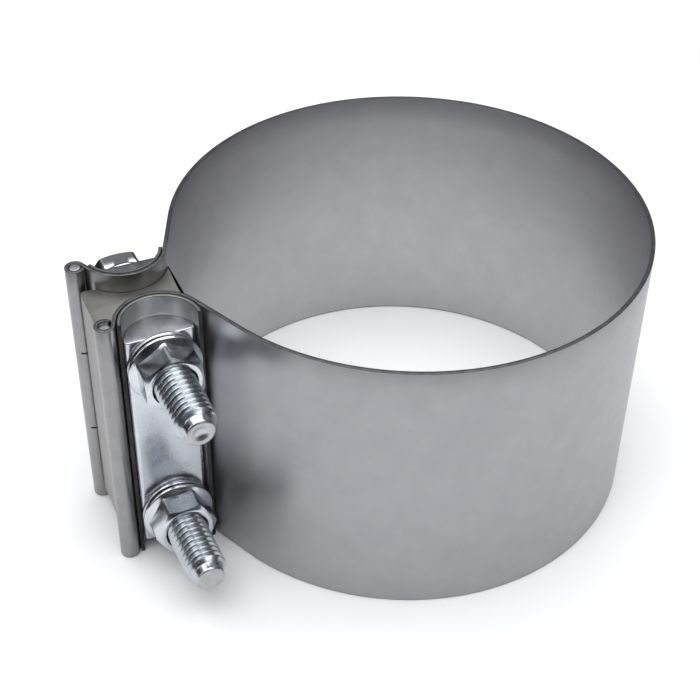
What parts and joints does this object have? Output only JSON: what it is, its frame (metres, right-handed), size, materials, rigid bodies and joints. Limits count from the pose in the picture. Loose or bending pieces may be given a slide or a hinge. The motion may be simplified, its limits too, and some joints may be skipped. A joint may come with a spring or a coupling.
{
  "type": "pipe repair clamp",
  "caption": "Wide flat band clamp for a pipe, closed by bolts through half-round bars that sit in folded troughs on each side of a spacer block.",
  "frame": {"origin": "centre of the pipe bore at mid-width of the band", "axes": "+Z along the pipe; the bolted ear lies on -X; bolt heads at +Y and nuts at -Y"},
  "size_m": [0.1554, 0.1292, 0.079],
  "materials": {
    "band_sheet": "satin aluminised sheet",
    "block_steel": "plain drawn steel, dull grey",
    "pin_steel": "plain steel rod",
    "zinc_bar": "bright zinc plate",
    "zinc_washer": "bright zinc plate",
    "zinc_nut": "bright blue zinc plate",
    "zinc_thread": "bright blue zinc plate"
  },
  "bodies": {
    "clamp_band": {"band": "band_sheet", "spacer_block": "block_steel", "front_liner": "band_sheet", "rear_liner": "band_sheet", "front_bar": "zinc_bar", "rear_bar": "zinc_bar", "front_pin": "pin_steel", "rear_pin": "pin_steel"},
    "bolt_upper": {"bolt_upper": "zinc_thread", "head_washer_upper": "zinc_washer"},
    "nut_washer_upper": {"nut_washer_upper": "zinc_washer"},
    "nut_upper": {"nut_upper": "zinc_nut"},
    "bolt_lower": {"bolt_lower": "zinc_thread", "head_washer_lower": "zinc_washer"},
    "nut_washer_lower": {"nut_washer_lower": "zinc_washer"},
    "nut_lower": {"nut_lower": "zinc_nut"}
  },
  "joints": [
    {"name": "bolt_upper_spin", "type": "hinge", "parent": "clamp_band", "child": "bolt_upper", "pos_m": [-0.0751, 0, 0.0254], "axis": [0, -1, 0], "continuous": true},
    {"name": "nut_upper_travel", "type": "slide", "parent": "bolt_upper", "child": "nut_washer_upper", "axis": [0, -1, 0], "range_m": [0, 0.0182]},
    {"name": "nut_upper_spin", "type": "hinge", "parent": "nut_washer_upper", "child": "nut_upper", "pos_m": [-0.0751, 0, 0.0254], "axis": [0, -1, 0], "range_deg": [0, 3600]},
    {"name": "bolt_lower_spin", "type": "hinge", "parent": "clamp_band", "child": "bolt_lower", "pos_m": [-0.0751, 0, -0.0254], "axis": [0, -1, 0], "continuous": true},
    {"name": "nut_lower_travel", "type": "slide", "parent": "bolt_lower", "child": "nut_washer_lower", "axis": [0, -1, 0], "range_m": [0, 0.0182]},
    {"name": "nut_lower_spin", "type": "hinge", "parent": "nut_washer_lower", "child": "nut_lower", "pos_m": [-0.0751, 0, -0.0254], "axis": [0, -1, 0], "range_deg": [0, 3600]}
  ],
  "couplings": [
    {"joint": "nut_upper_travel", "follows": "nut_upper_spin", "m_per_rad": 0.00028875},
    {"joint": "nut_lower_travel", "follows": "nut_lower_spin", "m_per_rad": 0.00028875}
  ]
}
